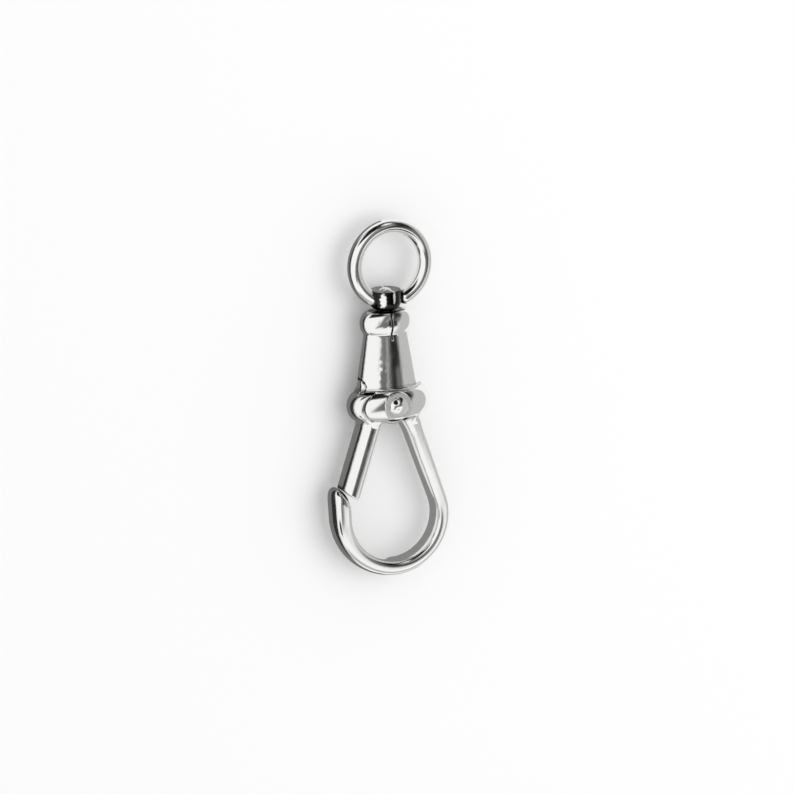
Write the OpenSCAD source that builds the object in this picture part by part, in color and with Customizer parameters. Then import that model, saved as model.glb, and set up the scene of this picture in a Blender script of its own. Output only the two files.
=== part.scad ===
// Swivel snap hook for a watch chain, millimetres.
// The pieces are drawn upright in the clip's own frame: x to the right, front at -y, ring on top,
// with the middle of the rivet at zero. lay_down() then lays the clip on its back as it comes to
// rest: front upwards, ring end along +Y, the middle of its outline over the origin.

/* [Barrel] */
// Depth of the oval barrel as a share of its width
oval = 0.57; // [0.5:0.01:0.65]
// Width of the collar at its widest
collar_w = 7.4; // [7:0.1:8]
// Height of the collar
collar_h = 2.8; // [2.6:0.1:3.2]
// How far the middle of the collar lies below the rivet
collar_drop = 0.1; // [0:0.05:0.3]
// How far the round of the collar reaches in from its widest
collar_round = 1.3; // [1:0.1:1.5]
// Width of the neck where it leaves the collar
neck_low_w = 5.7; // [5.2:0.1:6]
// Width of the neck under the head
neck_high_w = 3.92; // [3.6:0.02:4.2]
// Height of the top of the neck above the rivet
neck_top = 5.95; // [5.5:0.05:7]
// Height of the fillet band under the head
band_h = 0.24; // [0.15:0.01:0.4]
// How far the fillet band stands out from the neck
band_step = 0.05; // [0.03:0.01:0.1]
// Width of the head, the round bulge that holds the swivel pin
head_w = 4.6; // [4.3:0.02:5]
// Height of the head
head_h = 2; // [1.9:0.05:2.6]
// How far the round of the head reaches in from its widest
head_round = 0.65; // [0.6:0.05:1]
// Metal left between the top of the gate's slot and the top of the collar
slot_skin = 0.08; // [0.05:0.01:0.2]
// Width of the closed seam down the front of the head
seam_w = 0.08; // [0.05:0.01:0.12]
// Diameter of the bore that holds the spring and the head of the pin
bore_d = 1.6; // [1.5:0.02:1.7]

/* [Hook] */
// Distance from the rivet down to the middle of the loop's right round
loop_drop = 9.95; // [9.5:0.05:11]
// How far the middle of the right round lies to the right of the rivet
loop_shift = 0.32; // [0.1:0.02:0.5]
// Radius of the loop's right round, to the middle of the section
loop_r = 4.16; // [4:0.02:4.4]
// Radius of the wider left round, from the bottom of the loop up to the tip
hook_r = 4.89; // [4.6:0.01:5.1]
// Angle below level, at the middle of the right round, where the two rounds meet
round_split = 83; // [75:1:90]
// Lean of the straight arm from upright, in degrees
arm_lean = 18.8; // [17:0.2:21]
// Outward lean of the tip from upright, in degrees
tip_lean = 2; // [0:0.5:4]
// Length of the straight tip, to the middle of the face that the gate closes on
tip_rise = 2.6; // [2:0.1:2.8]
// Slope of the face that the gate closes on, in degrees
tip_slope = 43; // [38:1:48]
// Thickness of the arm under the collar
root_t = 1.5; // [1.2:0.05:1.6]
// Depth of the arm, front to back, under the collar
root_w = 2.4; // [1.9:0.05:2.5]
// How much thicker the arm flares where it leaves the collar
root_flare = 0.8; // [0:0.1:1]
// Length of the flare
flare_l = 2.2; // [1.5:0.1:3]
// Thickness of the hook where it is slimmest
bend_t = 1.26; // [1:0.02:1.4]
// Depth of the hook where it is slimmest
bend_w = 2.1; // [1.8:0.05:2.3]
// Angle below level, on the right round, where the hook is slimmest
slim_angle = 52; // [30:1:75]
// Thickness of the hook at its tip
tip_t = 1.66; // [1.4:0.02:1.8]
// Depth of the hook at its tip
tip_w = 2.3; // [2.2:0.05:2.6]
// Length over which the tip rounds off to its nose
nose_l = 1.5; // [1.2:0.1:2]

/* [Gate] */
// Depth of the gate, front to back
gate_w = 2.5; // [2.3:0.05:2.6]
// Thickness of the gate's bar
gate_t = 1.56; // [1.3:0.02:1.7]
// Rounding of the bar's long edges
gate_edge = 0.35; // [0.2:0.05:0.5]
// How far inwards of the tip's middle the bar's middle line meets the tip's face
gate_seat = 0.98; // [0.8:0.02:1.2]
// How far the bar's middle line passes to the left of the rivet
gate_offset = 1.31; // [1.2:0.01:1.4]
// Radius of the hub that turns in the collar
hub_r = 1.7; // [1.5:0.05:1.75]
// Height of the flat heel that the spring presses on, above the rivet
heel_h = 1.2; // [1.1:0.05:1.3]
// Depth of the tail that moves in the slot of the neck
tail_w = 1.4; // [1.2:0.05:1.5]
// Height of the tail's end above the rivet
tail_h = 2.2; // [1.9:0.05:2.4]
// Gap between the gate's end and the face of the tip
gate_gap = 0.05; // [0.03:0.01:0.1]
// Gap between the gate and each side of its slot
side_play = 0.05; // [0.03:0.01:0.08]
// Gap between the tail and each side of its slot in the neck
tail_play = 0.1; // [0.05:0.01:0.12]
// Gap round the hub and over the tail
end_play = 0.1; // [0.05:0.01:0.12]

/* [Rivet] */
// Diameter of the rivet's shank
rivet_d = 0.9; // [0.8:0.05:1]
// Diameter of its domed head
rivet_head_d = 1.66; // [1.5:0.02:1.9]
// Height of the domed head
rivet_head_h = 0.26; // [0.15:0.01:0.35]
// Diameter of the flat pads that the rivet is closed on
pad_d = 2.3; // [2.1:0.05:2.5]
// Gap between the shank and the gate's hole
pivot_play = 0.04; // [0.02:0.01:0.08]

/* [Swivel] */
// Radius of the ring, to the middle of its wire
ring_r = 3.18; // [3:0.01:3.6]
// Diameter of the ring's wire
wire_d = 1.22; // [1:0.02:1.3]
// How far the middle of the ring stands to the right of the pin
ring_shift = 0.49; // [0:0.01:0.6]
// How far the ring's round would reach below the bottom of the boss
ring_sink = 0.1; // [0:0.05:0.2]
// How far the wire's round end runs into the right side of the boss
ring_bite = 0.14; // [0.06:0.02:0.2]
// Diameter of the wire's round end
ring_end_d = 1.18; // [1:0.02:1.2]
// Diameter of the boss under the ring
boss_d = 2.62; // [2.4:0.02:2.8]
// Height of the boss
boss_h = 1.62; // [1.5:0.02:1.8]
// Width of the round under the boss
boss_round_w = 0.6; // [0.4:0.05:0.8]
// Height of the round under the boss
boss_round_h = 0.65; // [0.4:0.05:0.9]
// Gap between the boss and the head of the barrel
boss_gap = 0.1; // [0.06:0.01:0.3]
// Diameter of the pin's shank
pin_d = 0.95; // [0.8:0.05:1]
// Diameter of the pin's head inside the barrel
pin_head_d = 1.46; // [1.35:0.02:1.5]
// Thickness of the pin's head
pin_head_h = 0.5; // [0.4:0.05:0.6]
// Metal left over the pin's head
head_top_wall = 0.7; // [0.6:0.05:0.8]
// Height of the pin's riveted end above the boss
pin_end_h = 0.16; // [0.1:0.01:0.25]
// Gap round the pin's shank and over its head
swivel_play = 0.05; // [0.03:0.01:0.08]

/* [Spring] */
// Outer diameter of the coil spring
spring_d = 1.4; // [1.3:0.02:1.5]
// Diameter of the spring's wire
spring_wire_d = 0.2; // [0.16:0.02:0.24]
// Number of turns
spring_turns = 8; // [6:1:10]
// Gap at each end of the spring
spring_gap = 0.02; // [0.01:0.01:0.05]

/* [Hidden] */
$fn = 48;
silver = [0.86, 0.86, 0.85];
steel = [0.62, 0.63, 0.65];

// Heights along the barrel, from the rivet
collar_r = collar_w / 2;
collar_mid = -collar_drop;
collar_low = collar_mid - collar_h / 2;
collar_high = collar_mid + collar_h / 2;
head_r = head_w / 2;
head_sink = 0.2;
neck_sink = 0.3;
head_low = neck_top - head_sink;
head_mid = head_low + head_h / 2;
head_high = head_low + head_h;
pad_y = collar_r * oval;

// The slot and the pocket that the gate turns in
slot_w = gate_w + 2 * side_play;
slot_high = collar_high - slot_skin;
tail_slot_w = tail_w + 2 * tail_play;
tail_slot_in = bore_d / 4;
pocket_r = hub_r + end_play;
cut = 1;

// The pin and its bore
pin_seat = head_high - head_top_wall;
pin_head_high = pin_seat - swivel_play;
pin_head_low = pin_head_high - pin_head_h;
boss_low = head_high + boss_gap;
boss_high = boss_low + boss_h;
ring_mid = boss_low - ring_sink + wire_d / 2 + ring_r;
ring_high = ring_mid + ring_r + wire_d / 2;
ring_root = acos((boss_d / 2 + wire_d / 2 - ring_bite - ring_shift) / ring_r);

// The middle line of the hook: straight arm, right round, wider left round, straight tip
loop_mid = [loop_shift, -loop_drop];
hook_mid = loop_mid + (loop_r - hook_r) * [cos(round_split), -sin(round_split)];
arm_foot = loop_mid + loop_r * [cos(arm_lean), sin(arm_lean)];
arm_up = [-sin(arm_lean), cos(arm_lean)];
tip_foot = hook_mid - hook_r * [cos(tip_lean), sin(tip_lean)];
tip_up = [-sin(tip_lean), cos(tip_lean)];
root_high = -0.9;
arm_l = (root_high - arm_foot.y) / arm_up.y;
loop_l = loop_r * (round_split + arm_lean) * PI / 180;
sweep_l = hook_r * (180 - round_split - tip_lean) * PI / 180;
round_l = loop_l + sweep_l;
tip_over = 0.75;
tip_l = tip_rise + tip_over;
hook_l = arm_l + round_l + tip_l;
bend_at = arm_l + loop_r * (arm_lean + slim_angle) * PI / 180;
tip_mid = tip_foot + tip_rise * tip_up;

// The gate's bar: its middle line passes the rivet at gate_offset and ends on the tip's face
seat = tip_mid + gate_seat * [cos(tip_slope), -sin(tip_slope)];
gate_lean = atan2(-seat.x, -seat.y) - asin(gate_offset / norm(seat));
bar_end = sqrt(norm(seat) * norm(seat) - gate_offset * gate_offset) + gate_t;
bar_start = 0.6;

// The middle of the clip's outline
level_t = hook_t(arm_l + loop_r * arm_lean * PI / 180);
bottom_t = hook_t(arm_l + loop_l + hook_r * (90 - round_split) * PI / 180);
hook_right = loop_mid.x + loop_r + level_t / 2;
hook_left = tip_foot.x + (tip_l - nose_l) * tip_up.x - hook_t(hook_l - nose_l) / 2;
hook_low = hook_mid.y - hook_r - bottom_t / 2;
middle_x = (hook_right + hook_left) / 2;
middle_z = (ring_high + hook_low) / 2;

// A point of the hook's middle line at distance s from its root: [x, z, angle of the outward side]
function hook_point(s) =
    s < arm_l ? concat(arm_foot + (arm_l - s) * arm_up, arm_lean)
    : s < arm_l + loop_l ? round_point(loop_mid, loop_r, arm_lean - turned(s - arm_l, loop_r))
    : s < arm_l + round_l
        ? round_point(hook_mid, hook_r, -round_split - turned(s - arm_l - loop_l, hook_r))
    : concat(tip_foot + (s - arm_l - round_l) * tip_up, tip_lean - 180);
function round_point(mid, r, a) = [mid.x + r * cos(a), mid.y + r * sin(a), a];
function turned(l, r) = l / r * 180 / PI;

// A size that runs smoothly from the root over the bottom of the loop to the tip
function ease(u) = (1 - cos(180 * u)) / 2;
function along(s, root, bend, tip) =
    s < bend_at ? root + (bend - root) * ease(s / bend_at)
    : bend + (tip - bend) * ease((s - bend_at) / (hook_l - bend_at));

// Thickness and depth of the hook at distance s from its root
function hook_t(s) = along(s, root_t, bend_t, tip_t) + root_flare * pow(max(0, 1 - s / flare_l), 2);
function hook_w(s) = along(s, root_w, bend_w, tip_w);

// Share of the section that is left where the tip rounds off
nose_fall = 0.97;
function nose(s) = sqrt(1 - nose_fall * pow(max(0, 1 - (hook_l - s) / nose_l), 2));

// One point of the section: round on the outer side, nearly flat on the inner side
outer_power = 2.3;
inner_power = 3.6;
function rounded(c, power) = sign(c) * pow(abs(c), 2 / power);
function section_point(a, t, w) =
    let (power = cos(a) > 0 ? outer_power : inner_power)
    [t / 2 * rounded(cos(a), power), w / 2 * rounded(sin(a), power)];

// The hook's bar as one swept skin
section_sides = 24;
hook_rings = 56;
module hook_bar() {
    points = [
        for (i = [0 : hook_rings])
            let (s = hook_l * i / hook_rings, p = hook_point(s))
            let (t = hook_t(s) * nose(s), w = hook_w(s) * nose(s))
            for (k = [0 : section_sides - 1])
                let (q = section_point(360 * k / section_sides, t, w))
                [p.x + q.x * cos(p.z), q.y, p.y + q.x * sin(p.z)]
    ];
    polyhedron(points, skin_faces(hook_rings, section_sides), convexity = 4);
}

// Faces of a skin of rings: its sides and its two ends
function skin_faces(rings, sides) = concat(
    [[for (k = [sides - 1 : -1 : 0]) k]],
    [[for (k = [0 : sides - 1]) rings * sides + k]],
    [for (i = [0 : rings - 1]) for (k = [0 : sides - 1])
        [i * sides + k, i * sides + (k + 1) % sides, (i + 1) * sides + (k + 1) % sides,
         (i + 1) * sides + k]]
);

// The space above the face of the tip, or with above = false the space up to gap over it
module tip_space(above, gap) {
    size = 2 * tip_w;
    wide = 3 * tip_w;
    translate([tip_mid.x, -size / 2, tip_mid.y])
        rotate([0, tip_slope, 0])
            translate([-wide / 2, 0, above ? gap : gap - size])
                cube([wide, size, size]);
}

// Outer form of the barrel without its openings, shrunk by inset all round
module barrel_form(inset) {
    scale([1, oval, 1])
        rotate_extrude() {
            polygon([
                [0, collar_mid],
                [neck_low_w / 2 - inset, collar_high - neck_sink],
                [neck_high_w / 2 - inset, neck_top],
                [0, neck_top]
            ]);
            round_band(collar_r - inset, collar_mid, collar_h - 2 * inset, collar_round);
            round_band(head_r - inset, head_mid, head_h - 2 * inset, head_round);
            translate([0, neck_top - band_h])
                square([neck_high_w / 2 + band_step - inset, band_h]);
        }
}

// Half section of a bulge: flat top and bottom, round outside
module round_band(r, mid, h, reach) {
    translate([0, mid - h / 2])
        square([r - reach, h]);
    intersection() {
        translate([r - reach, mid])
            scale([reach / (h / 2), 1])
                circle(h / 2);
        translate([r - reach - cut, mid - h])
            square([reach + 2 * cut, 2 * h]);
    }
}

// A round bar along y through the point [x, z]
module cross_bar(r, w, x, z) {
    translate([x, w / 2, z])
        rotate([90, 0, 0])
            cylinder(r = r, h = w);
}

// A tongue of width w on the left side, with a round end at height h, ending short of the middle
module side_tongue(w, h, short) {
    translate([-collar_w, -w / 2, 0])
        cube([collar_w - short, w, h - w / 2]);
    translate([-short, 0, h - w / 2])
        rotate([0, -90, 0])
            cylinder(d = w, h = collar_w - short);
}

module hook_body() {
    color(silver)
        difference() {
            union() {
                barrel_form(0);
                cross_bar(pad_d / 2, 2 * pad_y, 0, 0);
                difference() {
                    hook_bar();
                    tip_space(true, 0);
                }
            }
            // The slot for the gate on the left and its round end about the rivet
            translate([-collar_w, -slot_w / 2, collar_low - cut])
                cube([collar_w, slot_w, slot_high - collar_low + cut]);
            cross_bar(pocket_r, slot_w, 0, 0);
            // The narrow slot for the tail in the neck
            side_tongue(tail_slot_w, tail_h + end_play, tail_slot_in);
            // The bore for the spring and the pin's head, and the hole for the pin
            cylinder(d = bore_d, h = pin_seat);
            cylinder(d = pin_d + 2 * swivel_play, h = head_high + cut);
            // The closed seam down the front of the head
            translate([-seam_w / 2, -head_r, head_low])
                cube([seam_w, head_r, head_h + cut]);
            cross_bar(rivet_d / 2, 2 * pad_y + cut, 0, 0);
        }
}

// Outline of the gate's bar, seen along it
module bar_outline() {
    long = gate_w - 2 * gate_edge;
    thick = gate_t - 2 * gate_edge;
    square([gate_t, long], center = true);
    square([thick, gate_w], center = true);
    for (x = [-thick / 2, thick / 2], y = [-long / 2, long / 2])
        translate([x, y])
            circle(gate_edge);
}

module gate() {
    color(silver)
        difference() {
            union() {
                // The bar, down to the face of the hook's tip
                difference() {
                    rotate([0, gate_lean, 0])
                        translate([-gate_offset, 0, -bar_end])
                            linear_extrude(bar_end - bar_start)
                                bar_outline();
                    tip_space(false, gate_gap);
                }
                // The hub with its flat heel
                difference() {
                    cross_bar(hub_r, gate_w, 0, 0);
                    translate([-hub_r, -gate_w, heel_h])
                        cube([2 * hub_r, 2 * gate_w, hub_r]);
                }
                // The shoulder that fills the collar's outline, and the tail in the neck
                intersection() {
                    barrel_form(side_play);
                    union() {
                        translate([-collar_w, -gate_w / 2, collar_low])
                            cube([collar_w, gate_w, slot_high - end_play - collar_low]);
                        side_tongue(tail_w, tail_h, bore_d);
                    }
                }
            }
            cross_bar(rivet_d / 2 + pivot_play, 2 * gate_w, 0, 0);
        }
}

module pivot_rivet() {
    color(silver)
        rotate([90, 0, 0]) {
            translate([0, 0, -pad_y])
                cylinder(d = rivet_d, h = 2 * pad_y);
            translate([0, 0, pad_y])
                dome(rivet_head_d, rivet_head_h);
        }
}

// A shallow round cap of diameter d and height h, standing on z = 0
module dome(d, h) {
    r = (d * d / 4 + h * h) / (2 * h);
    intersection() {
        translate([0, 0, h - r])
            sphere(r);
        cylinder(d = d, h = h + cut);
    }
}

module gate_spring() {
    low = heel_h + spring_gap + spring_wire_d / 2;
    high = pin_head_low - spring_gap - spring_wire_d / 2;
    coil_r = (spring_d - spring_wire_d) / 2;
    per_turn = 14;
    rings = spring_turns * per_turn;
    sides = 8;
    points = [
        for (i = [0 : rings])
            let (a = 360 * i / per_turn, z = low + (high - low) * i / rings)
            for (k = [0 : sides - 1])
                let (b = 360 * k / sides)
                let (r = coil_r + spring_wire_d / 2 * cos(b))
                [r * cos(a), r * sin(a), z + spring_wire_d / 2 * sin(b)]
    ];
    color(steel)
        polyhedron(points, skin_faces(rings, sides), convexity = 10);
}

module swivel_ring() {
    color(silver)
        difference() {
            union() {
                translate([ring_shift, 0, ring_mid])
                    rotate([90, ring_root, 0]) {
                        rotate_extrude(angle = 180 + 2 * ring_root)
                            translate([ring_r, 0])
                                circle(d = wire_d);
                        translate([ring_r, 0, 0])
                            sphere(d = ring_end_d);
                    }
                translate([0, 0, boss_low])
                    rotate_extrude()
                        boss_half();
            }
            cylinder(d = pin_d, h = boss_high + cut);
        }
}

// Half section of the boss: a drum with a round lower edge
module boss_half() {
    flat_r = boss_d / 2 - boss_round_w;
    square([flat_r, boss_h]);
    translate([0, boss_round_h])
        square([boss_d / 2, boss_h - boss_round_h]);
    intersection() {
        translate([flat_r, boss_round_h])
            scale([boss_round_w / boss_round_h, 1])
                circle(boss_round_h);
        square([boss_d / 2, 2 * boss_round_h]);
    }
}

module swivel_pin() {
    color(silver) {
        translate([0, 0, pin_head_low])
            cylinder(d = pin_head_d, h = pin_head_h);
        translate([0, 0, pin_head_low])
            cylinder(d = pin_d, h = boss_high - pin_head_low);
        translate([0, 0, boss_high])
            dome(pin_d, pin_end_h);
    }
}

// Lays the upright clip on its back, on the flat pad round the rivet
module lay_down() {
    translate([0, 0, pad_y])
        rotate([-90, 0, 0])
            translate([-middle_x, 0, -middle_z])
                children();
}

lay_down() hook_body();
lay_down() gate();
lay_down() pivot_rivet();
lay_down() gate_spring();
lay_down() swivel_ring();
lay_down() swivel_pin();
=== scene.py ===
import math

import bpy
import numpy as np
from mathutils import Matrix


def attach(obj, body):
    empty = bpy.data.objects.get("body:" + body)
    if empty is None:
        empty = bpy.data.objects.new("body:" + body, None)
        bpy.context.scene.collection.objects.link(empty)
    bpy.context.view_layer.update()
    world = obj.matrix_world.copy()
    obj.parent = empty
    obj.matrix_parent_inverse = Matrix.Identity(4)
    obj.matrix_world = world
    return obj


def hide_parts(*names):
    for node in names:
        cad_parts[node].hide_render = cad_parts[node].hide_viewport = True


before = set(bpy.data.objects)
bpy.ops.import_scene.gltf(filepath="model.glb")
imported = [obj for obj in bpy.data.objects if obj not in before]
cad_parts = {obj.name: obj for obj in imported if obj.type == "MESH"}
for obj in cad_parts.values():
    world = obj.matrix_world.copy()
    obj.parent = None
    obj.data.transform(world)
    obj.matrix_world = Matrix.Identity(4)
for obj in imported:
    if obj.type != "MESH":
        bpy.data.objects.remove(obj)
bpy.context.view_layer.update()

# The barrel and hook
# One silver casting, hollow from the head down to the rivet, filed, drilled and polished. It is
# slotted on the left for the gate, and its head was closed over the swivel pin, which left a seam.

# Sizes are in millimetres, with the clip upright: x to the right, front at -y, ring on top, and the
# middle of the rivet at zero
OVAL = 0.57
COLLAR_R, COLLAR_MID, COLLAR_H, COLLAR_ROUND = 3.7, -0.1, 2.8, 1.3
COLLAR_LOW, COLLAR_HIGH = COLLAR_MID - COLLAR_H / 2, COLLAR_MID + COLLAR_H / 2
NECK_LOW_R, NECK_HIGH_R, NECK_TOP = 2.85, 1.96, 5.95
HEAD_R, HEAD_LOW, HEAD_H, HEAD_ROUND = 2.3, 5.75, 2.0, 0.65
HEAD_HIGH = HEAD_LOW + HEAD_H
BOSS_LOW, BOSS_SHADE_R = HEAD_HIGH + 0.1, 1.3
BAND_H, BAND_STEP, LEDGE_R, LEDGE_H = 0.24, 0.05, 2.98, 0.1
PAD_Y, PAD_R = COLLAR_R * OVAL, 1.15
BORE_R, PIN_SEAT, PIN_HOLE_R, RIVET_R = 0.8, 7.05, 0.525, 0.45
SLOT_W, SLOT_HIGH, POCKET_R = 2.6, COLLAR_HIGH - 0.08, 1.8
TAIL_SLOT_W, TAIL_H, TAIL_PLAY = 1.6, 2.2, 0.1
SLOT_ROUND, SLOT_WIDE_ROUND, SLOT_ROOF = 0.09, 0.22, 0.42
FILED_LOW, FILED_X, FILED_W, FILED_ROUND = -1.2, -0.2, 2.1, 0.25
# The hook's middle line: a leaning arm, a round on the right, a wider one on the left and the tip
LOOP_X, LOOP_Z, LOOP_R, HOOK_R = 0.32, -9.95, 4.16, 4.89
LEAN, SPLIT, TIP_LEAN, TIP_SLOPE = (math.radians(a) for a in (18.8, 83, 2, 43))
HOOK_X = LOOP_X + (LOOP_R - HOOK_R) * math.cos(SPLIT)
HOOK_Z = LOOP_Z - (LOOP_R - HOOK_R) * math.sin(SPLIT)
ARM_X, ARM_Z = LOOP_X + LOOP_R * math.cos(LEAN), LOOP_Z + LOOP_R * math.sin(LEAN)
FOOT_X, FOOT_Z = HOOK_X - HOOK_R * math.cos(TIP_LEAN), HOOK_Z - HOOK_R * math.sin(TIP_LEAN)
TIP_REACH, TIP_EXTRA, TIP_W, TIP_ROUND = 2.6, 0.75, 2.4, 0.9
TIP_X = FOOT_X - TIP_REACH * math.sin(TIP_LEAN)
TIP_Z = FOOT_Z + TIP_REACH * math.cos(TIP_LEAN)
ARM_TOP = -0.9
ARM_L = (ARM_TOP - ARM_Z) / math.cos(LEAN)
LEFT_AT = ARM_L + LOOP_R * (SPLIT + LEAN)
TIP_AT = LEFT_AT + HOOK_R * (math.pi - SPLIT - TIP_LEAN)
HOOK_L, NOSE_L, NOSE_ROUND = TIP_AT + TIP_REACH + TIP_EXTRA, 1.9, 0.97
BEND_AT = ARM_L + LOOP_R * (LEAN + math.radians(52))
THICK, DEPTH, FLARE, FLARE_L = (1.5, 1.26, 1.66), (2.4, 2.1, 2.3), 0.8, 2.2
# How round the hook's section is on its outer and its inner side: 2 is an ellipse, more is squarer
OUTER_POWER, INNER_POWER = 2.3, 3.6
# Knocks and file marks that the polish left on the front of the neck and the head, to the left:
# depth, length, a number that sets the pattern, then where they are and how far they spread
DENTS = (
    (0.006, 0.8, 0.4, -1.2, 3.2, 0.6, 1.6),
    (0.002, 0.3, 1.4, -1.3, 2.9, 0.5, 1.2),
    (0.008, 0.9, 2.1, -0.7, 6.8, 0.7, 0.5),
)
SEAM_DEPTH, SEAM_W, SEAM_SHADE_W = 0.1, 0.05, 0.08
# Where the clip's middle is on the table
MIDDLE_X, MIDDLE_Z = -0.2062, 0.2820


def join(a, b, r):
    """Two forms run into one with a fillet of about r between them."""
    share = np.clip(0.5 + 0.5 * (b - a) / r, 0, 1)
    return b + (a - b) * share - r * share * (1 - share)


def trim(a, b, r):
    """Form a where form b is cut away, with its edges eased by about r."""
    return -join(-a, b, r)


def bulge(q, z, r, mid, h, reach):
    """Half section of a band of height h with an elliptic outer side."""
    u, v = np.maximum(q - (r - reach), 0), z - mid
    size = np.sqrt((u / reach) ** 2 + (2 * v / h) ** 2)
    steep = np.sqrt((u / reach ** 2) ** 2 + (4 * v / h ** 2) ** 2) + 1e-6
    return (size - 1) * size / steep


def half_section(q, z):
    """The barrel's outline from its middle line outwards."""
    collar = bulge(q, z, COLLAR_R, COLLAR_MID, COLLAR_H, COLLAR_ROUND)
    head = bulge(q, z, HEAD_R, HEAD_LOW + HEAD_H / 2, HEAD_H, HEAD_ROUND)
    foot = COLLAR_HIGH - 0.3
    flare = (NECK_LOW_R - NECK_HIGH_R) / (NECK_TOP - foot)
    neck = (q - NECK_LOW_R + (z - foot) * flare) / math.hypot(1, flare)
    neck = np.maximum(neck, np.maximum(COLLAR_MID - z, z - NECK_TOP))
    band = np.maximum(q - NECK_HIGH_R - BAND_STEP, np.abs(z - NECK_TOP + BAND_H / 2) - BAND_H / 2)
    ledge = np.maximum(q - LEDGE_R, np.abs(z - COLLAR_HIGH + LEDGE_H) - LEDGE_H)
    return join(join(join(join(neck, band, 0.05), head, 0.06), collar, 0.2), ledge, 0.04)


def barrel(x, y, z):
    """The oval barrel as a true distance near its skin."""
    q = np.sqrt(x * x + (y / OVAL) ** 2) + 1e-9
    value, step = half_section(q, z), 0.01
    outwards = np.clip((half_section(q + step, z) - value) / step, -1, 1)
    stretch = np.sqrt(x * x + y * y / OVAL ** 4) / q
    return value / np.sqrt(1 + outwards ** 2 * (stretch ** 2 - 1))


def along(s, sizes):
    """A size of the hook's section that runs from the root over the bend to the tip."""
    root, bend, tip = sizes
    first = (1 - np.cos(math.pi * np.clip(s / BEND_AT, 0, 1))) / 2
    last = (1 - np.cos(math.pi * np.clip((s - BEND_AT) / (HOOK_L - BEND_AT), 0, 1))) / 2
    return root + (bend - root) * first + (tip - bend) * last


def hook_bar(x, y, z):
    """The bar of the hook: straight arm, round loop and tip, flatter on its inner side."""
    arm_out = (x - ARM_X) * math.cos(LEAN) + (z - ARM_Z) * math.sin(LEAN)
    arm_up = (z - ARM_Z) * math.cos(LEAN) - (x - ARM_X) * math.sin(LEAN)
    tip_out = (FOOT_X - x) * math.cos(TIP_LEAN) + (FOOT_Z - z) * math.sin(TIP_LEAN)
    tip_up = (z - FOOT_Z) * math.cos(TIP_LEAN) - (x - FOOT_X) * math.sin(TIP_LEAN)
    on_right = (x - LOOP_X) * math.sin(SPLIT) + (z - LOOP_Z) * math.cos(SPLIT) > 0
    right_s = ARM_L + LOOP_R * (LEAN - np.arctan2(z - LOOP_Z, x - LOOP_X))
    left_s = LEFT_AT + HOOK_R * (-SPLIT - np.arctan2(z - HOOK_Z, x - HOOK_X))
    s = np.where(on_right, np.where(arm_up > 0, ARM_L - arm_up, right_s),
                 np.where(tip_up > 0, TIP_AT + tip_up, left_s))
    right_out = np.where(arm_up > 0, arm_out, np.hypot(x - LOOP_X, z - LOOP_Z) - LOOP_R)
    left_out = np.where(tip_up > 0, tip_out, np.hypot(x - HOOK_X, z - HOOK_Z) - HOOK_R)
    out = np.where(on_right, right_out, left_out)
    nose = np.sqrt(1 - NOSE_ROUND * np.clip(1 - (HOOK_L - s) / NOSE_L, 0, 1) ** 2)
    thick = along(s, THICK) + FLARE * np.clip(1 - s / FLARE_L, 0, 1) ** 2
    a, b = thick / 2 * nose, along(s, DEPTH) / 2 * nose
    power = np.where(out > 0, OUTER_POWER, INNER_POWER)
    u, v = np.abs(out) / a + 1e-6, np.abs(y) / b + 1e-6
    size = (u ** power + v ** power) ** (1 / power)
    steep = np.hypot((u / size) ** (power - 1) / a, (v / size) ** (power - 1) / b)
    return np.maximum(np.maximum((size - 1) / steep, -s), s - HOOK_L)


def above_tip(x, z):
    """How far a point is above the slanted face that the gate closes on."""
    return (x - TIP_X) * math.sin(TIP_SLOPE) + (z - TIP_Z) * math.cos(TIP_SLOPE)


def cross_bar(x, y, z, r, w):
    """A round bar of radius r and length w, front to back through the rivet's middle."""
    return np.maximum(np.hypot(x, z) - r, np.abs(y) - w / 2)


def tongue(x, y, z, w, h, short):
    """An upright tongue on the left, round on top, that ends short of the middle."""
    top = h - w / 2
    side = np.where(z > top, np.hypot(y, z - top), np.abs(y)) - w / 2
    return np.maximum(side, np.maximum(x + short, -z))


def ripple(x, z, size, seed):
    """Five waves of about one length that cross each other, between -1 and 1."""
    k, total = 2 * math.pi / size, 0
    for n in range(5):
        turn = seed + 2.4 * n
        way = x * math.cos(turn) + z * math.sin(turn)
        total = total + np.sin(k * (1 + 0.23 * n) * way + 1.7 * turn)
    return total / 3.2


def patch(x, z, mid_x, mid_z, wide, high):
    """One inside an area of the front and fading to nothing round it."""
    return np.exp(-((x - mid_x) / wide) ** 2 - ((z - mid_z) / high) ** 2)


def seam(x, z, width):
    """The closed seam down the front of the head: how near its line a point is, and its height."""
    wander = x - 0.03 * np.sin(5 * z)
    return np.exp(-(wander / width) ** 2), np.clip((z - HEAD_LOW + 0.45) * 6, 0, 1)


def solid_body(x, y, z):
    """The barrel and hook before they are slotted and drilled."""
    form = barrel(x, y, z)
    front = np.clip(-y * 2, 0, 1)
    for depth, size, seed, *place in DENTS:
        form = form + depth * front * ripple(x, z, size, seed) * patch(x, z, *place)
    form = join(form, cross_bar(x, y, z, PAD_R, 2 * PAD_Y), 0.07)
    # The underside is filed back between the cheeks and the arm, so the gate's hub shows under it
    filed = np.maximum(z - FILED_LOW, np.abs(x - FILED_X) - FILED_W)
    form = trim(form, filed, FILED_ROUND)
    cut = np.maximum(-above_tip(x, z), x - TIP_X - TIP_W)
    form = join(form, trim(hook_bar(x, y, z), cut, TIP_ROUND), 0.5)
    near, high = seam(x, z, SEAM_W)
    return form + SEAM_DEPTH * near * high * front


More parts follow.
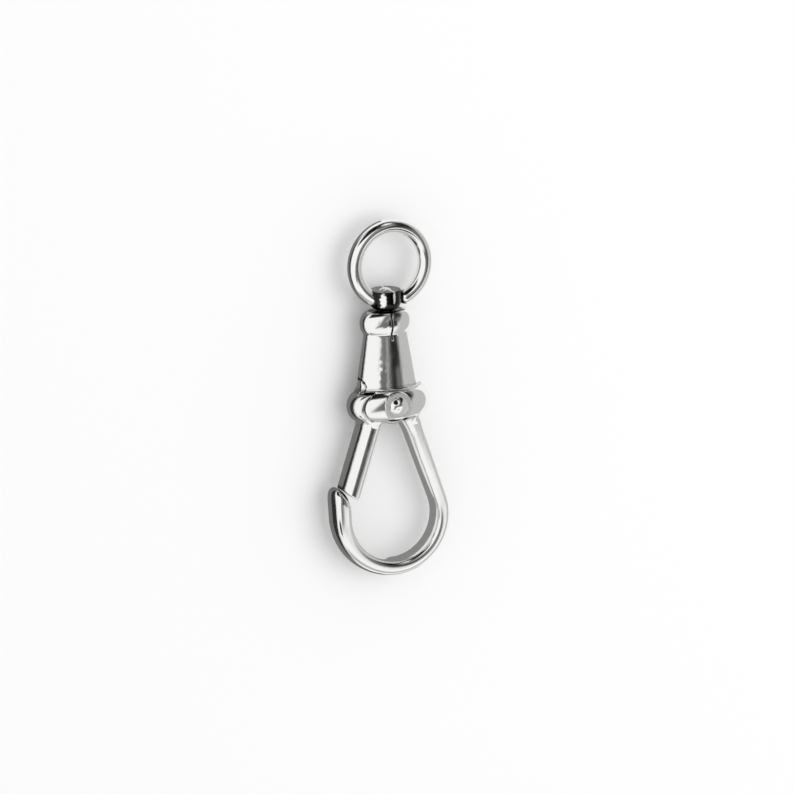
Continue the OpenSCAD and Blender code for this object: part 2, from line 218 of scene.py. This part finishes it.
def hook_body(x, y, z):
    form = solid_body(x, y, z)
    slot = np.maximum(np.maximum(x, np.abs(y) - SLOT_W / 2),
                      np.maximum(z - SLOT_HIGH, COLLAR_LOW - 1 - z))
    pocket = cross_bar(x, y, z, POCKET_R, SLOT_W)
    form = trim(form, np.minimum(slot, pocket), SLOT_ROUND)
    # The edges that show on the collar are eased more than the thin roof of the slot allows
    form = trim(form, np.maximum(slot, z - SLOT_HIGH + SLOT_ROOF), SLOT_WIDE_ROUND)
    form = trim(form, tongue(x, y, z, TAIL_SLOT_W, TAIL_H + TAIL_PLAY, BORE_R / 2), 0.07)
    bore = np.maximum(np.hypot(x, y) - BORE_R, np.maximum(-z, z - PIN_SEAT))
    form = trim(form, np.minimum(bore, np.maximum(np.hypot(x, y) - PIN_HOLE_R, -z)), 0.07)
    return trim(form, cross_bar(x, y, z, RIVET_R, 3 * PAD_Y), 0.04)


def round_body(x, y, z):
    """What stands close to the body's skin and sets its painted shade: itself unslotted, and the
    boss over its head.
    """
    boss = np.maximum(np.hypot(x, y) - BOSS_SHADE_R, BOSS_LOW - z)
    return np.minimum(solid_body(x, y, z), boss)


def seam_painted_shade(x, y, z):
    """Painted shade: a dark line along the seam's crease on the front of the head."""
    near, high = seam(x, z, SEAM_SHADE_W)
    return np.clip(1.6 * near, 0, 1) * high * (y < 0)


def skin(name, field, low, high, cell, close, shade_paint=None):
    """A closed mesh of one piece from its form, with its normals taken from the form itself."""
    low = np.array(low, float)
    axes = [np.arange(a, b + cell, cell) for a, b in zip(low, high)]
    value = field(*np.meshgrid(*axes, indexing="ij"))
    inside = value < 0
    steps = [(i, j, k) for i in (0, 1) for j in (0, 1) for k in (0, 1)]
    span = [n - 1 for n in inside.shape]
    count = sum(inside[i:i + span[0], j:j + span[1], k:k + span[2]].astype(np.int8)
                for i, j, k in steps)
    cells = np.argwhere((count > 0) & (count < 8))
    number = np.full(count.shape, -1, np.int32)
    number[tuple(cells.T)] = np.arange(len(cells))
    corner = [value[tuple((cells + step).T)] for step in steps]
    total, hits = np.zeros(cells.shape), np.zeros(len(cells))
    for a in range(8):
        for bit in (1, 2, 4):
            if a & bit:
                continue
            first, second = corner[a], corner[a | bit]
            crosses = (first < 0) != (second < 0)
            share = np.where(crosses, first / np.where(crosses, first - second, 1), 0)
            place = np.array(steps[a]) + share[:, None] * (np.array(steps[a | bit]) - steps[a])
            total += np.where(crosses[:, None], place, 0)
            hits += crosses
    points = low + (cells + total / hits[:, None]) * cell
    faces = []
    for axis in range(3):
        one, two = np.eye(3, dtype=int)[(axis + 1) % 3], np.eye(3, dtype=int)[(axis + 2) % 3]
        near = np.take(inside, np.arange(inside.shape[axis] - 1), axis)
        far = np.take(inside, np.arange(1, inside.shape[axis]), axis)
        edge = np.argwhere(near != far)
        quad = np.stack([number[tuple((edge - shift).T)]
                         for shift in (one + two, two, 0 * one, one)], 1)
        solid_first = near[tuple(edge.T)]
        faces.append(np.where(solid_first[:, None], quad, quad[:, ::-1]))
    faces = np.concatenate(faces)
    for _ in range(4):
        slope = gradient(field, points)
        steep = np.sum(slope ** 2, 1) + 1e-9
        move = -field(*points.T)[:, None] * slope / steep[:, None]
        length = np.linalg.norm(move, axis=1)[:, None] + 1e-12
        points = points + move * np.minimum(1, 0.5 * cell / length)
    normals = gradient(field, points)
    normals /= np.linalg.norm(normals, axis=1)[:, None] + 1e-12
    # Painted shade: how enclosed each point is, so corners and gaps are painted darker, raised
    # further where the piece paints shade of its own
    reach = 0.35
    painted_shade = np.clip(1 - close(*(points + reach * normals).T) / reach, 0, 1)
    if shade_paint:
        painted_shade = np.maximum(painted_shade, shade_paint(*points.T))
    mesh = bpy.data.meshes.new(name)
    mesh.from_pydata(lay_down(points).tolist(), [], faces.tolist())
    mesh.polygons.foreach_set("use_smooth", [True] * len(faces))
    mesh.normals_split_custom_set_from_vertices(turn_down(normals).tolist())
    mesh.attributes.new("painted_shade", "FLOAT", "POINT").data.foreach_set("value", painted_shade)
    piece = bpy.data.objects.new(name, mesh)
    bpy.context.scene.collection.objects.link(piece)
    return piece


def gradient(field, points):
    step = 0.002
    return np.stack([
        (field(*(points + step * e).T) - field(*(points - step * e).T)) / (2 * step)
        for e in np.eye(3)], 1)


def turn_down(v):
    """From the upright clip to the clip on its back, ring end along +Y."""
    return np.stack([v[:, 0], v[:, 2], -v[:, 1]], 1)


def lay_down(points):
    return (turn_down(points) + [-MIDDLE_X, -MIDDLE_Z, PAD_Y]) * 0.001


def linear(code):
    """An sRGB hex colour as linear light."""
    parts = [int(code[i:i + 2], 16) / 255 for i in (0, 2, 4)]
    return [c / 12.92 if c <= 0.04045 else ((c + 0.055) / 1.055) ** 2.4 for c in parts] + [1]


def add(tree, kind, links=(), **settings):
    """Adds a node; settings that name an input set it, and links are (from, its socket, to)."""
    item = tree.nodes.new(kind)
    for key, value in settings.items():
        if hasattr(item, key):
            setattr(item, key, value)
        else:
            item.inputs[key.replace("_", " ")].default_value = value
    for source, out, into in links:
        tree.links.new(source.outputs[out], item.inputs[into])
    return item


def new_material(name):
    material = bpy.data.materials.new(name)
    material.use_nodes = True
    material.node_tree.nodes.clear()
    return material, material.node_tree


# Polished sterling silver: a bright, hardly tinted mirror, buffed by hand, so it carries hair-fine
# scratches and slightly duller clouds; painted shade darkens it in its corners and gaps
silver, tree = new_material("polished_sterling_silver")
where = add(tree, "ShaderNodeTexCoord")
clouds = add(tree, "ShaderNodeTexNoise", [(where, "Object", "Vector")], Scale=420, Detail=4)
hairs_map = add(tree, "ShaderNodeMapping", [(where, "Object", "Vector")],
                Scale=(9000, 900, 5000), Rotation=(0.2, 0.1, 0.5))
hairs = add(tree, "ShaderNodeTexNoise", [(hairs_map, "Vector", "Vector")], Scale=1, Detail=3)
gloss = add(tree, "ShaderNodeMapRange", [(clouds, "Fac", "Value")],
            **{"From Min": 0.35, "From Max": 0.7, "To Min": 0.09, "To Max": 0.18})
# The painted shade, read from each mesh, mixes the base colour from silver towards near black
corner = add(tree, "ShaderNodeAttribute", attribute_name="painted_shade")
dark = add(tree, "ShaderNodeMapRange", [(corner, "Fac", "Value")],
           **{"From Min": 0.25, "From Max": 0.9, "To Min": 0.0, "To Max": 0.98})
tone = add(tree, "ShaderNodeMix", [(dark, "Result", 0)], data_type="RGBA")
tone.inputs[6].default_value = linear("F3F3F1")
tone.inputs[7].default_value = linear("1C1B1A")
bump = add(tree, "ShaderNodeBump", [(hairs, "Fac", "Height")], Strength=0.12, Distance=0.00002)
metal = add(tree, "ShaderNodeBsdfPrincipled",
            [(tone, 2, "Base Color"), (gloss, "Result", "Roughness"), (bump, "Normal", "Normal")],
            Metallic=1.0)
add(tree, "ShaderNodeOutputMaterial", [(metal, "BSDF", "Surface")])

body = skin("hook_and_barrel", hook_body, (-6.0, -2.4, -15.1), (5.6, 2.4, 7.95), 0.074,
            round_body, seam_painted_shade)
body.data.materials.append(silver)
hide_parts("hook_body")
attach(body, "clip")

# The gate
# One silver piece: a bar that closes on the slanted face of the hook's tip, a shoulder that fills
# the collar's outline, a round hub on the rivet, and a tail whose heel the spring presses on.
GATE_T, GATE_W, GATE_OFFSET, GATE_TOP, TAIL_W = 1.56, 2.5, 1.31, -0.6, 1.4
GATE_LEAN = math.radians(19.48)
GATE_EDGE, GATE_EDGE_OUT, GATE_END_ROUND, GATE_NOSE_ROUND = 0.35, 0.74, 0.15, 0.8
CROWN, CREST, BELLY, BELLY_REACH = 0.15, 0.35, 0.18, 0.5
HUB_R, HUB_EDGE, HEEL_H, SHOULDER_ROUND, GATE_HOLE_R = 1.7, 0.35, 1.2, 0.3, 0.49
GAP = 0.05


def keep(a, b, r):
    """What forms a and b share."""
    return -join(-a, -b, r)


def gate_form(x, y, z):
    across = x * math.cos(GATE_LEAN) - z * math.sin(GATE_LEAN) + GATE_OFFSET
    up = x * math.sin(GATE_LEAN) + z * math.cos(GATE_LEAN)
    # The front and back are rounded across their width, and the left side bulges a little
    crown = CROWN * (across - CREST) ** 2
    edge = np.where(across < 0, GATE_EDGE_OUT, GATE_EDGE)
    belly = BELLY * np.clip(-across / BELLY_REACH, 0, 1) * (2 * y / GATE_W) ** 2
    u = np.abs(across) + belly - GATE_T / 2 + edge
    v = np.abs(y) + crown - GATE_W / 2 + edge
    bar = np.hypot(np.maximum(u, 0), np.maximum(v, 0)) + np.minimum(np.maximum(u, v), 0) - edge
    bar = np.maximum(bar, up - GATE_TOP)
    end = GAP - above_tip(x, z)
    nose = keep(across - GATE_T / 2, end, GATE_NOSE_ROUND)
    bar = keep(keep(bar, end, GATE_END_ROUND), nose, 0.05)
    hub = keep(np.hypot(x, z) - HUB_R, np.abs(y) - GATE_W / 2, HUB_EDGE)
    hub = np.maximum(hub, z - HEEL_H)
    box = np.maximum(np.maximum(x, np.abs(y) - GATE_W / 2),
                     np.maximum(z - SLOT_HIGH + 0.1, COLLAR_LOW - z))
    tail = tongue(x, y, z, TAIL_W, TAIL_H, 2 * BORE_R)
    shoulder = keep(barrel(x, y, z) + GAP, np.minimum(box, tail), SHOULDER_ROUND)
    form = join(join(bar, shoulder, 0.5), hub, 0.05)
    return trim(form, cross_bar(x, y, z, GATE_HOLE_R, 3 * GATE_W), 0.04)


def hub_painted_shade(x, y, z):
    """Painted shade on the hub, next to the barrel's underside and round its rim."""
    r = np.hypot(x, z)
    inner = np.clip((HUB_R - 0.18 - r) * 16, 0, 1)
    rim = np.clip((r - HUB_R + 0.09) * 16, 0, 1)
    return (inner + rim) * np.clip((-1.0 - z) * 8, 0, 1) * np.clip((x + 1) * 4, 0, 1)


gate = skin("gate_bar", gate_form, (-5.6, -1.4, -8.6), (1.9, 1.4, 2.5), 0.07,
            lambda x, y, z: np.minimum(gate_form(x, y, z), solid_body(x, y, z)), hub_painted_shade)
gate.data.materials.append(silver)
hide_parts("gate")
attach(gate, "gate")

# The pivot rivet
# A silver wire peened over on the front, so its head is a low uneven dome; the back end is filed
# flush with the flat pad.
RIVET_HEAD_R, RIVET_HEAD_H = 0.83, 0.26


def rivet_form(x, y, z):
    shank = np.maximum(np.hypot(x, z) - RIVET_R, np.abs(y) - PAD_Y)
    ball = (RIVET_HEAD_R ** 2 + RIVET_HEAD_H ** 2) / (2 * RIVET_HEAD_H)
    out = -y - PAD_Y
    head = np.sqrt(x * x + z * z + (out - RIVET_HEAD_H + ball) ** 2) - ball
    # Marks of the hammer all over, and one deeper pit
    blows = 0.01 * ripple(x, z, 0.8, 1.3) + 0.08 * patch(x, z, -0.3, 0.42, 0.2, 0.18)
    return join(keep(head + blows, -out, 0.05), shank, 0.03)


def pit_painted_shade(x, y, z):
    """Painted shade in the pit of the head."""
    return (y < 0) * np.clip(2.2 * patch(x, z, -0.3, 0.4, 0.2, 0.2) - 0.5, 0, 1)


rivet = skin("pivot_rivet_head", rivet_form, (-1.0, -2.5, -1.0), (1.0, 2.2, 1.0), 0.045,
             lambda x, y, z: np.minimum(rivet_form(x, y, z), solid_body(x, y, z)), pit_painted_shade)
rivet.data.materials.append(silver)
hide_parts("pivot_rivet")
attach(rivet, "clip")

# The swivel ring
# A ring of round silver wire, cast in one with the drum-shaped boss that turns on the barrel's
# head; the boss is drilled for the pin.
RING_X, RING_R, WIRE_R, RING_ROOT = 0.49, 3.18, 0.61, math.radians(66.07)
BOSS_R, BOSS_H, BOSS_FOOT_W, BOSS_FOOT_H, PIN_R = 1.31, 1.62, 0.6, 0.65, 0.475
BOSS_HIGH = BOSS_LOW + BOSS_H
RING_Z = HEAD_HIGH + WIRE_R + RING_R


def ring_form(x, y, z):
    u, v = np.abs(x - RING_X), z - RING_Z
    open_end = np.hypot(u - RING_R * math.cos(RING_ROOT), v + RING_R * math.sin(RING_ROOT))
    on_wire = np.arctan2(v, u) > -RING_ROOT
    wire = np.hypot(np.where(on_wire, np.hypot(u, v) - RING_R, open_end), y) - WIRE_R
    q = np.hypot(x, y)
    up = z - BOSS_LOW
    # The drum's foot is drawn in as a quarter of an ellipse
    u, v = np.maximum(q - (BOSS_R - BOSS_FOOT_W), 0), BOSS_FOOT_H - up
    size = np.hypot(u / BOSS_FOOT_W, np.maximum(v, 0) / BOSS_FOOT_H)
    steep = np.hypot(u / BOSS_FOOT_W ** 2, np.maximum(v, 0) / BOSS_FOOT_H ** 2) + 1e-6
    foot = (size - 1) * size / steep
    drum = np.where(v > 0, np.maximum(foot, -up), q - BOSS_R)
    drum = keep(drum, up - BOSS_H, 0.1)
    hole = np.maximum(q - PIN_R, np.abs(up - BOSS_H / 2) - BOSS_H)
    return trim(join(wire, drum, 0.09), hole, 0.03)


def boss_painted_shade_and_highlights(x, y, z):
    """Painted shade and dark reflection on the boss, between the ring and the head, lighter in two
    painted highlights.
    """
    drum = np.clip((1.5 - np.hypot(x, y)) * 8, 0, 1) * np.clip((BOSS_HIGH + 0.3 - z) * 4, 0, 1)
    # Two painted highlights on the front of the boss, with uneven borders
    painted_highlight = patch(x, z, -0.68, BOSS_LOW + 0.9, 0.3, 0.75)
    painted_highlight = painted_highlight + patch(x, z, 0.22, BOSS_LOW + 1.2, 0.14, 0.7)
    uneven = painted_highlight * ripple(x, z, 0.5, 0.3) * 0.25
    return drum * (0.93 - np.clip(4 * (painted_highlight + uneven) - 1.8, 0, 0.85))


ring = skin("swivel_ring_and_boss", ring_form, (-3.5, -1.45, 7.75), (4.5, 1.45, 15.5), 0.06,
            lambda x, y, z: np.minimum(ring_form(x, y, z), solid_body(x, y, z)), boss_painted_shade_and_highlights)
ring.data.materials.append(silver)
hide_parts("swivel_ring")
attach(ring, "swivel")

# The swivel pin
# A headed silver pin that turns in the barrel's head; its end is riveted over on top of the boss.
PIN_HEAD_R, PIN_HEAD_LOW, PIN_HEAD_H, PIN_END = 0.73, 6.5, 0.5, 0.16


def pin_form(x, y, z):
    q = np.hypot(x, y)
    head = np.maximum(q - PIN_HEAD_R, np.abs(z - PIN_HEAD_LOW - PIN_HEAD_H / 2) - PIN_HEAD_H / 2)
    ball = (PIN_R ** 2 + PIN_END ** 2) / (2 * PIN_END)
    end = np.sqrt(q * q + (z - BOSS_HIGH - PIN_END + ball) ** 2) - ball
    end = end + 0.015 * ripple(x, y, 0.5, 0.7)
    shank = np.maximum(q - PIN_R, np.maximum(PIN_HEAD_LOW - z, z - BOSS_HIGH))
    return join(keep(end, BOSS_HIGH - 0.05 - z, 0.03), join(shank, head, 0.04), 0.02)


pin = skin("swivel_pin_shank", pin_form, (-0.9, -0.9, 6.35), (0.9, 0.9, 9.85), 0.045,
           lambda x, y, z: np.minimum(pin_form(x, y, z), ring_form(x, y, z)))
pin.data.materials.append(silver)
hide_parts("swivel_pin")
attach(pin, "swivel")

# The gate spring
# A coil of drawn spring steel wire, wound on a mandrel and set in the barrel's bore, between the
# gate's heel and the head of the swivel pin.
SPRING_R, SPRING_WIRE_R, SPRING_TURNS, SPRING_LOW, SPRING_HIGH = 0.6, 0.1, 8, 1.32, 6.38

# Drawn steel wire: grey, with fine marks of the die along it that blur what it mirrors
steel, tree = new_material("drawn_spring_steel")
where = add(tree, "ShaderNodeTexCoord")
marks = add(tree, "ShaderNodeTexNoise", [(where, "Object", "Vector")], Scale=6000, Detail=3)
dull = add(tree, "ShaderNodeMapRange", [(marks, "Fac", "Value")],
           **{"From Min": 0.3, "From Max": 0.7, "To Min": 0.22, "To Max": 0.38})
metal = add(tree, "ShaderNodeBsdfPrincipled", [(dull, "Result", "Roughness")], Metallic=1.0)
metal.inputs["Base Color"].default_value = linear("B9BBBE")
add(tree, "ShaderNodeOutputMaterial", [(metal, "BSDF", "Surface")])

coil_tree = bpy.data.node_groups.new("coil_of_wire", "GeometryNodeTree")
for label, kind in (("Geometry", "NodeSocketGeometry"), ("Turns", "NodeSocketFloat"),
                    ("Radius", "NodeSocketFloat"), ("Length", "NodeSocketFloat"),
                    ("Wire Radius", "NodeSocketFloat"), ("Place", "NodeSocketVector"),
                    ("Finish", "NodeSocketMaterial")):
    coil_tree.interface.new_socket(label, in_out="INPUT", socket_type=kind)
coil_tree.interface.new_socket("Geometry", in_out="OUTPUT", socket_type="NodeSocketGeometry")
given = add(coil_tree, "NodeGroupInput")
helix = add(coil_tree, "GeometryNodeCurveSpiral",
            [(given, "Turns", "Rotations"), (given, "Radius", "Start Radius"),
             (given, "Radius", "End Radius"), (given, "Length", "Height")], Resolution=28)
section = add(coil_tree, "GeometryNodeCurvePrimitiveCircle",
              [(given, "Wire Radius", "Radius")], Resolution=12)
wire = add(coil_tree, "GeometryNodeCurveToMesh",
           [(helix, "Curve", "Curve"), (section, "Curve", "Profile Curve")])
wire.inputs["Fill Caps"].default_value = True
laid = add(coil_tree, "GeometryNodeTransform",
           [(wire, "Mesh", "Geometry"), (given, "Place", "Translation")])
laid.inputs["Rotation"].default_value = (-math.pi / 2, 0, 0)
one = add(coil_tree, "GeometryNodeRealizeInstances", [(laid, "Geometry", "Geometry")])
dressed = add(coil_tree, "GeometryNodeSetMaterial",
              [(one, "Geometry", "Geometry"), (given, "Finish", "Material")])
add(coil_tree, "NodeGroupOutput", [(dressed, "Geometry", "Geometry")])

maker = bpy.data.objects.new("coil_maker", bpy.data.meshes.new("coil_maker"))
bpy.context.scene.collection.objects.link(maker)
winding = maker.modifiers.new("winding", "NODES")
winding.node_group = coil_tree
wanted = {"Turns": float(SPRING_TURNS), "Radius": SPRING_R * 0.001,
          "Length": (SPRING_HIGH - SPRING_LOW) * 0.001, "Wire Radius": SPRING_WIRE_R * 0.001,
          "Place": tuple(lay_down(np.array([[0, 0, SPRING_LOW]]))[0]), "Finish": steel}
for item in coil_tree.interface.items_tree:
    if item.in_out == "INPUT" and item.name in wanted:
        winding[item.identifier] = wanted[item.name]
bpy.context.view_layer.update()
made = maker.evaluated_get(bpy.context.evaluated_depsgraph_get())
spring = bpy.data.objects.new("gate_spring_coil", bpy.data.meshes.new_from_object(made))
bpy.data.objects.remove(maker)
bpy.context.scene.collection.objects.link(spring)
spring.data.polygons.foreach_set("use_smooth", [True] * len(spring.data.polygons))
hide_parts("gate_spring")
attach(spring, "clip")

# The table, the light and the camera
# A plain white table under a white studio; dark screens round it give the metal its dark edges.
table_mesh = bpy.data.meshes.new("white_table")
half = 0.6
table_mesh.from_pydata([(-half, -half, 0), (half, -half, 0), (half, half, 0), (-half, half, 0)], [],
                       [(0, 1, 2, 3)])
table = bpy.data.objects.new("white_table", table_mesh)
bpy.context.scene.collection.objects.link(table)
# Matt white paper, even and without any sheen
paper, tree = new_material("matt_white_paper")
matt = add(tree, "ShaderNodeBsdfDiffuse")
matt.inputs["Color"].default_value = linear("FBFBFB")
add(tree, "ShaderNodeOutputMaterial", [(matt, "BSDF", "Surface")])
table_mesh.materials.append(paper)

world = bpy.data.worlds.new("white_studio")
bpy.context.scene.world = world
world.use_nodes = True
tree = world.node_tree
tree.nodes.clear()
# What the camera, the metal and the gaps between see is white; the light it sheds is softer
ray = add(tree, "ShaderNodeLightPath")
seen = add(tree, "ShaderNodeMath", [(ray, "Is Camera Ray", 0), (ray, "Is Glossy Ray", 1)],
           operation="MAXIMUM")
seen = add(tree, "ShaderNodeMath", [(seen, "Value", 0), (ray, "Is Transmission Ray", 1)],
           operation="MAXIMUM")
level = add(tree, "ShaderNodeMapRange", [(seen, "Value", "Value")], **{"To Min": 0.78})
sky = add(tree, "ShaderNodeBackground", [(level, "Result", "Strength")])
sky.inputs["Color"].default_value = (1, 1, 1, 1)
add(tree, "ShaderNodeOutputWorld", [(sky, "Background", "Surface")])

# Cloth screens on a ball round the clip, out of the camera's sight. Each has its place as the
# angle to the right of the front and the angle towards the ring, then its width, its height and how
# soft its border is, all in degrees, how far it leans to the right and slants up for each degree,
# and its tone
SCREENS = (
    ("light_wall_right", 69, 0, 64, 170, 9, 0, 0, "C3C3C3"),
    ("grey_wall_low", 0, -70, 180, 42, 12, 0, 0, "B6B6B6"),
    ("dark_screen_middle", 25, 12, 68, 69, 7, 0.6, 0.2, "6C6C6C"),
    ("pale_strip_middle", 16, 10, 10, 38, 4, 0.6, 0.2, "B4B4B4"),
    ("black_strip_middle", 32, 13, 18, 64, 5, 0.6, 0.2, "323232"),
    ("black_screen_left", -91, 0, 14, 170, 5, 0, 0, "1E1E1E"),
    ("black_screen_right", 45, 36, 26, 52, 5, 0.18, 0, "161616"),
    ("black_screen_top", -24, 52, 88, 44, 7, 0, 0, "161616"),
    ("black_screen_high", 0, 74, 170, 28, 6, 0, 0, "202020"),
)
BALL_R, BALL_STEP = 0.36, 0.01
for order, (name, turn, rise, wide, high, soft, lean, slant, tone) in enumerate(SCREENS):
    cloth, tree = new_material(name + "_cloth")
    cover = add(tree, "ShaderNodeAttribute", attribute_name="cover")
    clear = add(tree, "ShaderNodeBsdfTransparent")
    lit = add(tree, "ShaderNodeEmission", Strength=1.0)
    lit.inputs["Color"].default_value = linear(tone)
    mixed = add(tree, "ShaderNodeMixShader", [(cover, "Fac", 0), (clear, 0, 1), (lit, 0, 2)])
    add(tree, "ShaderNodeOutputMaterial", [(mixed, "Shader", "Surface")])
    ball = BALL_R - BALL_STEP * order
    steps, points, faces, edge = 30, [], [], []
    for i in range(steps + 1):
        for j in range(steps + 1):
            u, v = wide * (i / steps - 0.5), high * (j / steps - 0.5)
            a, e = math.radians(turn + u + v * lean), math.radians(rise + v + u * slant)
            points.append((ball * math.sin(a) * math.cos(e), ball * math.sin(e),
                           max(ball * math.cos(a) * math.cos(e), 0.001)))
            edge.append(min(1, (wide / 2 - abs(u)) / soft, (high / 2 - abs(v)) / soft))
            if i < steps and j < steps:
                k = i * (steps + 1) + j
                faces.append((k, k + steps + 1, k + steps + 2, k + 1))
    mesh = bpy.data.meshes.new(name)
    mesh.from_pydata(points, [], faces)
    mesh.attributes.new("cover", "FLOAT", "POINT").data.foreach_set("value", edge)
    mesh.materials.append(cloth)
    screen = bpy.data.objects.new(name, mesh)
    bpy.context.scene.collection.objects.link(screen)
    screen.visible_camera = screen.visible_diffuse = screen.visible_shadow = False

# Cards lie on the table, out of the camera's sight, and glow only for the metal's reflections: the
# grey ones are a painted shadow of the clip that gives the metal's lower sides their grey, the
# black one paints a dark reflection further left; their corners are in millimetres of the upright
# clip, x and z
CARDS = (
    ("dark_reflection_card_left", "303030", ((-60, -30), (-7.5, -30), (-7.5, 30), (-60, 30))),
    ("painted_shadow_card_left", "787878", (
        (-7.5, -20), (0.3, -20), (0.3, -14.1), (-3.4, -12.5), (-4.7, -9.2), (-4, -7.5),
        (-1.2, -1.6), (0, -1.3), (0, 8), (-0.8, 8.5), (-2.7, 11.5), (0.5, 15), (0.5, 18),
        (-7.5, 18))),
    ("painted_shadow_card_low", "B0B0B0", (
        (0.3, -20), (0.3, -14.1), (2.6, -13.4), (4.5, -14.5), (6, -20))),
    ("painted_shadow_card_in_loop", "8A8A8A", (
        (1.7, -1.2), (-0.9, -0.8), (1.8, -7.9), (1.9, -9.95), (1.6, -10.9), (1, -11.4),
        (0.3, -11.5), (0.8, -14.08), (2.6, -13.4), (3.9, -12.1), (4.48, -9.95), (4.26, -8.6))),
)
# Small ones stand before the hook and the ring and paint dark reflections into them: x, y and z
STANDING_CARDS = [
    ("dark_reflection_card_by_hook", "4A4A4A", (
        (-15.7, -6.2, -18.3), (-11.9, -10.8, -18.3),
        (-11.9, -10.8, -13.3), (-15.7, -6.2, -13.3))),
    ("dark_reflection_card_by_ring", "202020", (
        (3.3, -10.5, 2.4), (8.3, -10.5, 2.4), (8.3, -13.4, 6.4), (3.3, -13.4, 6.4))),
]
LIFT = 0.03
boards = [(name, tone, [(x, PAD_Y - LIFT, z) for x, z in corners])
          for name, tone, corners in CARDS]
for name, tone, corners in boards + STANDING_CARDS:
    board, tree = new_material(name + "_board")
    lit = add(tree, "ShaderNodeEmission", Strength=1.0)
    lit.inputs["Color"].default_value = linear(tone)
    add(tree, "ShaderNodeOutputMaterial", [(lit, "Emission", "Surface")])
    mesh = bpy.data.meshes.new(name)
    mesh.from_pydata(lay_down(np.array(corners)).tolist(), [], [tuple(range(len(corners)))])
    mesh.materials.append(board)
    card = bpy.data.objects.new(name, mesh)
    bpy.context.scene.collection.objects.link(card)
    card.visible_camera = card.visible_diffuse = card.visible_shadow = False

key = bpy.data.lights.new("key_lamp", "AREA")
key.shape, key.size, key.size_y, key.energy = "RECTANGLE", 0.45, 0.45, 0.82
lamp = bpy.data.objects.new("key_lamp", key)
bpy.context.scene.collection.objects.link(lamp)
lamp.location = (0.16, 0.06, 0.47)
lamp.rotation_euler = lamp.location.to_track_quat("Z", "Y").to_euler()
lamp.visible_glossy = False

# The camera looks from the front, a little from the left and above, turned a little about its axis
AZ, EL, ROLL = math.radians(25), math.radians(14.5), math.radians(-1.5)
MM_PER_PIXEL, IMAGE, RIVET_AT = 0.0823, 794, (388, 401)
right = np.array([math.cos(AZ), -math.sin(AZ), 0])
up = np.array([math.sin(AZ) * math.sin(EL), math.cos(AZ) * math.sin(EL), math.cos(EL)])
right, up = (right * math.cos(ROLL) + up * math.sin(ROLL),
             up * math.cos(ROLL) - right * math.sin(ROLL))
back = np.cross(right, up)
aim = ((IMAGE / 2 - RIVET_AT[0]) * right - (IMAGE / 2 - RIVET_AT[1]) * up) * MM_PER_PIXEL
distance, sensor = 700, 36
lens = bpy.data.cameras.new("camera")
lens.sensor_width = sensor
lens.lens = sensor * distance / (IMAGE * MM_PER_PIXEL)
lens.clip_start, lens.clip_end = 0.01, 10
camera = bpy.data.objects.new("camera", lens)
bpy.context.scene.collection.objects.link(camera)
turn = np.eye(4)
turn[:3, :3] = turn_down(np.stack([right, up, back])).T
turn[:3, 3] = lay_down((aim + distance * back)[None])[0]
camera.matrix_world = Matrix(turn.tolist())
bpy.context.scene.camera = camera
bpy.context.scene.view_settings.view_transform = "Standard"
